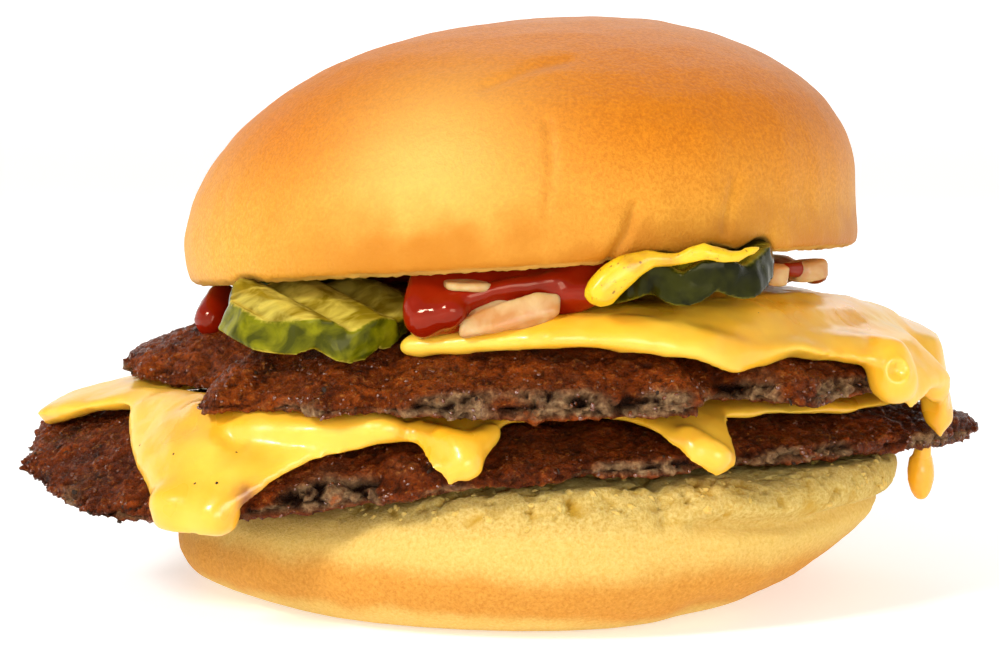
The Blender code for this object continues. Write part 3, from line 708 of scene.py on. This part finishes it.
# Painted light: these warm orange tones stand in for the glow that the cheese casts on the white
# onion.
colour = add(
    tree, "ShaderNodeMix", {FACTOR: tint, FROM: linear("#DC9C58"), TO: linear("#EEC68A")},
    data_type="RGBA",
).outputs[MIXED]
tree.links.new(colour, shader.inputs["Base Color"])
shader.inputs["Roughness"].default_value = 0.25
shader.inputs["Transmission Weight"].default_value = 0.35
shader.inputs["IOR"].default_value = 1.36
shader.inputs["Subsurface Weight"].default_value = 0.6
shader.inputs["Subsurface Radius"].default_value = (1, 0.5, 0.25)
shader.inputs["Subsurface Scale"].default_value = mm(3)


def layer_shape(point, normal):
    """Slightly uneven, and a little inside its solid."""
    return (mm(0.2) * noise.noise(point / mm(3)) - mm(0.1),)


ONION_FACE = (
    ((-4.6, -45.1, 41), (0, -45.3, 41.7), (4.2, -45.1, 43), (7, -44.4, 43.6)),
    ((-4.6, -44.9, 42.3), (0.4, -44.7, 44.2), (4.8, -44.4, 45.7), (7.2, -43.8, 45.2)),
)
ONION_FLAPS = {"onion_front": ((ONION_FACE, (0.9, 0.8)),)}
for node in ("onion_front", "onion_top", "onion_right", "onion_right_end", "onion_back"):
    sliver = fine_copy(node, node + "_piece", mm(0.35), 8, flaps=ONION_FLAPS.get(node, ()))
    raise_relief(sliver, layer_shape)
    finish_piece(sliver, onion, node)

# Ketchup: a thick smooth tomato sauce, pressed out between the crown and the fillings.
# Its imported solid, with the swells that ooze out joined on, is remade in fine cells and softened,
# as a sauce has no edges.


def sauce_shape(point, normal):
    """Slow swells and small ones, and a little outside its solid."""
    slow, quick = noise.noise(point / mm(5)), noise.noise(point / mm(1.8))
    return (mm(0.1) + mm(0.35) * slow + mm(0.12) * quick,)


SAUCE_FACE = (
    ((-10.5, -40.4, 47.4), (-2, -40, 48), (6, -40.4, 48.6), (13, -41.2, 49)),
    ((-10.6, -42.6, 44.2), (-3, -41.8, 45), (6, -41.8, 46), (12, -42.8, 46)),
    ((-10, -43, 41.6), (-5, -41.8, 42.2), (5, -40.8, 43.8), (10, -41.8, 44.8)),
)
SAUCE_FLAPS = (
    (SAUCE_FACE, (1.6, 1.9, 1.7)),
    ((((-10, -43, 42.8),), ((-6.4, -44.4, 43.6),)), (2.5, 2.4)),
    ((((-7, -43.6, 44.8),), ((-1, -43.4, 46.4),), ((7, -43, 47.6),)), (1.9, 1.2, 1.1)),
    ((((-40, -2, 41.4),), ((-41, -5.4, 38.6),)), (2.3, 2.7)),
    ((((39, -24.6, 47.4),), ((42.6, -20, 47),), ((43.6, -17.4, 46.6),)), (1, 1.5, 1.9)),
)
ketchup = fine_copy("ketchup", "ketchup_sauce", mm(0.5), 8, flaps=SAUCE_FLAPS)
raise_relief(ketchup, sauce_shape)
tomato, tree, shader = new_material("tomato_sauce")
place = add(tree, "ShaderNodeTexCoord").outputs["Object"]
thick = add(tree, "ShaderNodeTexNoise", {"Vector": place, "Scale": 150, "Detail": 3}).outputs[0]
colour = add(
    tree, "ShaderNodeMix", {FACTOR: thick, FROM: linear("#5A0700"), TO: linear("#9A1C03")},
    data_type="RGBA",
).outputs[MIXED]
tree.links.new(colour, shader.inputs["Base Color"])
shader.inputs["Roughness"].default_value = 0.1
shader.inputs["Specular IOR Level"].default_value = 0.4
shader.inputs["Specular Tint"].default_value = linear("#FFD8B8")
shader.inputs["Subsurface Weight"].default_value = 0.1
shader.inputs["Subsurface Radius"].default_value = (1, 0.15, 0.05)
shader.inputs["Subsurface Scale"].default_value = mm(1.2)
finish_piece(ketchup, tomato, "ketchup")

# Mustard: a worm of it on the right-hand chip, smooth, with brown specks of seed and brown patches of
# painted shade.
# It is its imported solid remade in fine cells and softened.
mustard = fine_copy("mustard", "mustard_sauce", mm(0.3), 5)
raise_relief(mustard, layer_shape)
seeded, tree, shader = new_material("yellow_mustard")
place = add(tree, "ShaderNodeTexCoord").outputs["Object"]
specks = add(tree, "ShaderNodeTexNoise", {"Vector": place, "Scale": 1600, "Detail": 2}).outputs[0]
seeds = add(tree, "ShaderNodeMapRange", {VALUE: specks, LOW: 0.64, HIGH: 0.76}).outputs[0]
clouds = add(tree, "ShaderNodeTexNoise", {"Vector": place, "Scale": 170, "Detail": 4}).outputs[0]
# Painted shade: brown patches laid by noise stand in for the shading on the blob.
dried = add(
    tree, "ShaderNodeMapRange", {VALUE: clouds, LOW: 0.5, HIGH: 0.66, TO_HIGH: 0.6}
).outputs[0]
sauce = add(
    tree, "ShaderNodeMix", {FACTOR: dried, FROM: linear("#E8B814"), TO: linear("#A86A10")},
    data_type="RGBA",
).outputs[MIXED]
colour = add(
    tree, "ShaderNodeMix", {FACTOR: seeds, FROM: sauce, TO: linear("#8A5A10")}, data_type="RGBA"
).outputs[MIXED]
tree.links.new(colour, shader.inputs["Base Color"])
shader.inputs["Roughness"].default_value = 0.3
shader.inputs["Subsurface Weight"].default_value = 0.25
shader.inputs["Subsurface Radius"].default_value = (1, 0.6, 0.1)
shader.inputs["Subsurface Scale"].default_value = mm(1)
finish_piece(mustard, seeded, "mustard")

# Crown: the roll's domed upper half, with a thin satin skin, golden brown on top and paler down its
# side. Creases and shallow dents are pressed into the remade solid, and its cut face is open crumb.
CROWN_SOFTENING = 40
WRINKLE_HEIGHT, CRUMB_PORE_DEPTH = mm(0.09), mm(0.5)
CREASE_WIDTH = mm(0.62)
CREASES = (
    ((6.2, 68), (6.7, 62), (6.0, 56.5), 0.6),
    ((17.5, 57.5), (16.4, 54.0), (14.0, 50.0), 0.65),
    ((-2.0, 72.6), (4.0, 74.9), (9.0, 76.0), 0.4),
    ((31, 60.5), (30, 57), (29.6, 54), 0.45),
)
DENTS = (
    ((30, -31, 62), 7, 0.7), ((36, -26, 57), 6, 0.6),
    ((-22, -36, 58), 12, 0.4), ((20, -39, 52), 7, 0.5),
)
# A broad painted highlight on the crown's front: its middle, its radius and how much it lightens.
PALE_PATCH, PALE_RADIUS, PALE_SHARE = Vector((mm(-9), mm(-42), mm(63))), mm(15), 0.6


def crown_shape(point, normal):
    """Creases and dents on the front, faint wrinkles all over, open crumb on the cut face.

    A crease is a line of points across and up, with its depth; a dent is a spot, radius and depth.
    """
    under = step(0.5, 0.9, -normal.z) * step(mm(56), mm(50), point.z)
    move = 0
    if point.y < 0:
        flat = Vector((point.x, point.z, 0))
        for *line, depth in CREASES:
            ends = [Vector((mm(x), mm(z), 0)) for x, z in line]
            for start, end in zip(ends, ends[1:]):
                span = end - start
                share = min(1, max(0, (flat - start).dot(span) / span.length_squared))
                off = (flat - start - span * share).length / CREASE_WIDTH
                move = min(move, -mm(depth) * math.exp(-off * off))
    for centre, radius, depth in DENTS:
        off = (point - Vector(mm(value) for value in centre)).length / mm(radius)
        move -= mm(depth) * math.exp(-off * off)
    wrinkles = noise.fractal(point / mm(5), 0.9, 2, 4)
    move += (1 - under) * WRINKLE_HEIGHT * wrinkles
    pores = noise.voronoi(point / mm(1.5))[0][0]
    move -= under * CRUMB_PORE_DEPTH * pores
    # Painted highlight: the front is lightened round one spot, where the key light's reflection
    # falls.
    pale = math.exp(-((point - PALE_PATCH).length / PALE_RADIUS) ** 2)
    # Painted shade: the crown's lower rim, except at the left, is darkened.
    rim = step(mm(60), mm(50), point.z + mm(3) * wrinkles) * step(mm(-40), mm(-14), point.x)
    return move, under, PALE_SHARE * pale, rim


crown = fine_copy("bun_crown", "crown_bread", BREAD_CELL, CROWN_SOFTENING)
raise_relief(crown, crown_shape, "crumb", "pale", "rim")

# Baked skin of an egg-washed roll: satin, with pores of about half a millimetre that break its
# shine.
crust, tree, shader = new_material("golden_crust")
place = add(tree, "ShaderNodeTexCoord").outputs["Object"]
height = add(tree, "ShaderNodeSeparateXYZ", {0: place}).outputs["Z"]
drift = add(tree, "ShaderNodeTexNoise", {"Vector": place, "Scale": 28, "Detail": 4}).outputs[0]
wander = add(
    tree, "ShaderNodeMath", {0: drift, 1: mm(16), 2: mm(-8)}, operation="MULTIPLY_ADD"
).outputs[0]
level = add(tree, "ShaderNodeMath", {0: height, 1: wander}, operation="ADD").outputs[0]
baked = add(
    tree, "ShaderNodeMapRange", {VALUE: level, LOW: mm(46), HIGH: mm(70)},
    interpolation_type="SMOOTHSTEP",
).outputs[0]
speck = add(
    tree, "ShaderNodeTexNoise", {"Vector": place, "Scale": 1900, "Detail": 3, "Roughness": 0.7}
).outputs[0]
mottle = add(tree, "ShaderNodeMapRange", {VALUE: speck, LOW: 0.36, HIGH: 0.64}).outputs[0]
side = add(
    tree, "ShaderNodeMix", {FACTOR: mottle, FROM: linear("#CE8C26"), TO: linear("#DFA33A")},
    data_type="RGBA",
).outputs[MIXED]
top = add(
    tree, "ShaderNodeMix", {FACTOR: mottle, FROM: linear("#BC6402"), TO: linear("#D27A0A")},
    data_type="RGBA",
).outputs[MIXED]
upper = add(
    tree, "ShaderNodeMix", {FACTOR: baked, FROM: side, TO: top}, data_type="RGBA"
).outputs[MIXED]
# The pale mark is a painted highlight, lightening the front where the key light's reflection falls.
pale = add(tree, "ShaderNodeAttribute", attribute_name="pale").outputs["Fac"]
lighter = add(
    tree, "ShaderNodeMix", {FACTOR: pale, FROM: upper, TO: linear("#EBBA60")}, data_type="RGBA"
).outputs[MIXED]
# The rim mark is painted shade: the lower rim, except at the left, is darkened.
rim = add(tree, "ShaderNodeAttribute", attribute_name="rim").outputs["Fac"]
skin = add(
    tree, "ShaderNodeMix", {FACTOR: rim, FROM: lighter, TO: linear("#B87016")}, data_type="RGBA"
).outputs[MIXED]
crumb = add(tree, "ShaderNodeAttribute", attribute_name="crumb").outputs["Fac"]
colour = add(
    tree, "ShaderNodeMix", {FACTOR: crumb, FROM: skin, TO: linear("#D9A84E")}, data_type="RGBA"
).outputs[MIXED]
bump = add(
    tree, "ShaderNodeBump", {"Height": speck, "Strength": 0.4, "Distance": mm(0.35)}
).outputs[0]
tree.links.new(colour, shader.inputs["Base Color"])
tree.links.new(bump, shader.inputs["Normal"])
shader.inputs["Roughness"].default_value = 0.5
shader.inputs["Specular IOR Level"].default_value = 0.5
shader.inputs["Specular Tint"].default_value = linear("#FFE09A")
shader.inputs["Subsurface Weight"].default_value = 0.15
shader.inputs["Subsurface Radius"].default_value = (1, 0.5, 0.2)
shader.inputs["Subsurface Scale"].default_value = mm(1.2)
finish_piece(crown, crust, "bun_crown")

# Loose bits: cracked pepper and burnt scraps on the meat and the cheese, beads of rendered fat on
# the meat, and crumbs of bread on the heel's torn edge. Each is a small uneven chip or a round
# bead, set on a vertex of the finished piece that carries it.
FULL_TURN = 6.3  # radians
BATCH = 50


def chosen_places(obj, count, seed, wanted):
    """That many random vertices of a piece that pass a test, with their normals."""
    rng = random.Random(seed)
    mesh = obj.data
    fit = [
        (vert.co.copy(), normal.vector.copy())
        for vert, normal in zip(mesh.vertices, mesh.vertex_normals)
        if wanted(vert.co, normal.vector)
    ]
    return rng.sample(fit, count)


def scatter_bits(name, places, sizes, flatness, sunk, seed, material, rounded=False):
    """One mesh of chips or round beads of random size and turn.

    Each is sunk into its place by a share of its radius.
    """
    rng = random.Random(seed)
    bm = bmesh.new()
    batch = bmesh.new()
    for count, (point, normal) in enumerate(places, 1):
        radius = mm(rng.uniform(*sizes))
        turn = normal.to_track_quat("Z", "Y").to_matrix().to_4x4()
        turn @= Matrix.Rotation(rng.uniform(0, FULL_TURN), 4, "Z")
        stretch = Matrix.Diagonal((rng.uniform(0.7, 1.5), rng.uniform(0.6, 1.1), flatness, 1))
        spot = Matrix.Translation(point - normal * radius * sunk) @ turn @ stretch
        bit = bmesh.ops.create_icosphere(
            batch, subdivisions=2 if rounded else 1, radius=radius, matrix=spot
        )
        if not rounded:
            for vert in bit["verts"]:
                vert.co += (vert.co - point) * rng.uniform(-0.3, 0.3)
        if count % BATCH == 0:
            pour(batch, bm)
            batch = bmesh.new()
    pour(batch, bm)
    mesh = bpy.data.meshes.new(name)
    bm.to_mesh(mesh)
    bm.free()
    mesh.materials.append(material)
    if rounded:
        mesh.shade_smooth()
    obj = bpy.data.objects.new(name, mesh)
    bpy.context.scene.collection.objects.link(obj)
    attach(obj, "root")


# Cracked black pepper and char: nearly black, with a dull shine.
pepper, tree, shader = new_material("cracked_pepper")
place = add(tree, "ShaderNodeTexCoord").outputs["Object"]
grain = add(tree, "ShaderNodeTexNoise", {"Vector": place, "Scale": 2500, "Detail": 2}).outputs[0]
colour = add(
    tree, "ShaderNodeMix", {FACTOR: grain, FROM: linear("#0C0704"), TO: linear("#3A2412")},
    data_type="RGBA",
).outputs[MIXED]
tree.links.new(colour, shader.inputs["Base Color"])
shader.inputs["Roughness"].default_value = 0.6
shader.inputs["Specular IOR Level"].default_value = 0.2


def on_rim(point, normal):
    return point.xy.length > mm(44) and normal.z < 0.8


meat_places = chosen_places(lower_patty, 90, 5, on_rim) + chosen_places(upper_patty, 90, 6, on_rim)
scatter_bits("pepper_on_meat", meat_places, (0.2, 0.5), 0.6, 0.1, 7, pepper)

# Rendered fat and juice: small clear amber beads that stand on the meat and catch the light.
fat, tree, shader = new_material("rendered_fat")
place = add(tree, "ShaderNodeTexCoord").outputs["Object"]
clouds = add(tree, "ShaderNodeTexNoise", {"Vector": place, "Scale": 300, "Detail": 2}).outputs[0]
colour = add(
    tree, "ShaderNodeMix", {FACTOR: clouds, FROM: linear("#3E1605"), TO: linear("#7A3A10")},
    data_type="RGBA",
).outputs[MIXED]
tree.links.new(colour, shader.inputs["Base Color"])
shader.inputs["Roughness"].default_value = 0.05
shader.inputs["Specular IOR Level"].default_value = 1


def on_seared_face(point, normal):
    return point.xy.length > mm(40) and normal.z > -0.5


for carrier, seed in ((lower_patty, 21), (upper_patty, 22)):
    fat_places = chosen_places(carrier, 1500, seed, on_seared_face)
    scatter_bits(
        "fat_on_" + carrier.name, fat_places, (0.12, 0.36), 0.5, 0.3, seed + 10, fat,
        rounded=True,
    )


def on_drape(point, normal):
    return point.y < mm(-30) and -0.2 < normal.z


# A little pepper and char has run down with the cheese.
cheese_places = chosen_places(lower_cheese, 9, 8, on_drape)
cheese_places += chosen_places(upper_cheese, 5, 9, on_drape)
scatter_bits("pepper_on_cheese", cheese_places, (0.16, 0.36), 0.5, 0.3, 10, pepper)


def on_torn_edge(point, normal):
    return point.z > mm(15.5) and point.xy.length > mm(38) and normal.z > -0.2


# Crumbs of the same bread, where the cut tore.
crumb_places = chosen_places(heel, 260, 11, on_torn_edge)
scatter_bits("heel_crumbs", crumb_places, (0.25, 0.75), 0.8, 0.35, 12, bread)

# Studio: a round floor and wall of white paper, with a key light from the upper left, a wide soft
# light from the front and a weak one from behind, as for a cut-out food picture.
STUDIO_RADIUS, WALL_HEIGHT, WALL_SIDES = 3, 1.4, 96
FLOOR_GLOW, WALL_GLOW, SKY_GLOW = 0.43, 0.42, 0.42


def stage_piece(name, bm, glow):
    """A floor or wall of white paper with a little light of its own, as on a light table."""
    mesh = bpy.data.meshes.new(name)
    bm.to_mesh(mesh)
    bm.free()
    paper, tree, shader = new_material("white_paper_" + name)
    shader.inputs["Base Color"].default_value = linear("#F4F3F0")
    shader.inputs["Roughness"].default_value = 0.9
    shader.inputs["Emission Color"].default_value = (1, 1, 1, 1)
    shader.inputs["Emission Strength"].default_value = glow
    mesh.materials.append(paper)
    obj = bpy.data.objects.new(name, mesh)
    bpy.context.scene.collection.objects.link(obj)


ground = bmesh.new()
bmesh.ops.create_circle(ground, cap_ends=True, segments=WALL_SIDES, radius=STUDIO_RADIUS)
stage_piece("studio_floor", ground, FLOOR_GLOW)
wall = bmesh.new()
bmesh.ops.create_cone(
    wall, cap_ends=False, segments=WALL_SIDES,
    radius1=STUDIO_RADIUS, radius2=STUDIO_RADIUS, depth=WALL_HEIGHT,
)
bmesh.ops.translate(wall, verts=wall.verts, vec=(0, 0, WALL_HEIGHT / 2))
bmesh.ops.reverse_faces(wall, faces=wall.faces)
stage_piece("studio_wall", wall, WALL_GLOW)

# Each light's name, place in metres, width in metres and power in watts.
LIGHTS = (
    ("key", (-0.46, -0.46, 0.46), 0.14, 3.5),
    ("front", (0.15, -0.85, 0.12), 0.5, 3.8),
    ("back", (0.1, 0.55, 0.5), 0.5, 1),
)
MIDDLE = Vector((0, 0, mm(37)))
for name, spot, size, power in LIGHTS:
    light = bpy.data.lights.new(name, "AREA")
    light.size = size
    light.energy = power
    lamp = bpy.data.objects.new(name, light)
    lamp.location = spot
    lamp.rotation_euler = (MIDDLE - lamp.location).to_track_quat("-Z", "Y").to_euler()
    bpy.context.scene.collection.objects.link(lamp)

world = bpy.data.worlds.new("white_studio")
world.use_nodes = True
sky = world.node_tree.nodes["Background"]
sky.inputs["Color"].default_value = (1, 1, 1, 1)
sky.inputs["Strength"].default_value = SKY_GLOW
bpy.context.scene.world = world
bpy.context.scene.view_settings.view_transform = "Standard"

# Camera: it looks slightly down at the fillings from the front, and the burger fills the frame.
# The lens follows from the width that the frame shows at the burger's middle.
CAMERA_DISTANCE = mm(420)
CAMERA_RISE = math.radians(6)
SENSOR_WIDTH = 36
FRAME_WIDTH_AT_MIDDLE = mm(145)
view = bpy.data.cameras.new("camera")
view.sensor_width = SENSOR_WIDTH
view.lens = SENSOR_WIDTH * CAMERA_DISTANCE / FRAME_WIDTH_AT_MIDDLE
camera = bpy.data.objects.new("camera", view)
back = Vector((0, -math.cos(CAMERA_RISE), math.sin(CAMERA_RISE)))
camera.location = MIDDLE + back * CAMERA_DISTANCE
camera.rotation_euler = (-back).to_track_quat("-Z", "Y").to_euler()
bpy.context.scene.collection.objects.link(camera)
bpy.context.scene.camera = camera
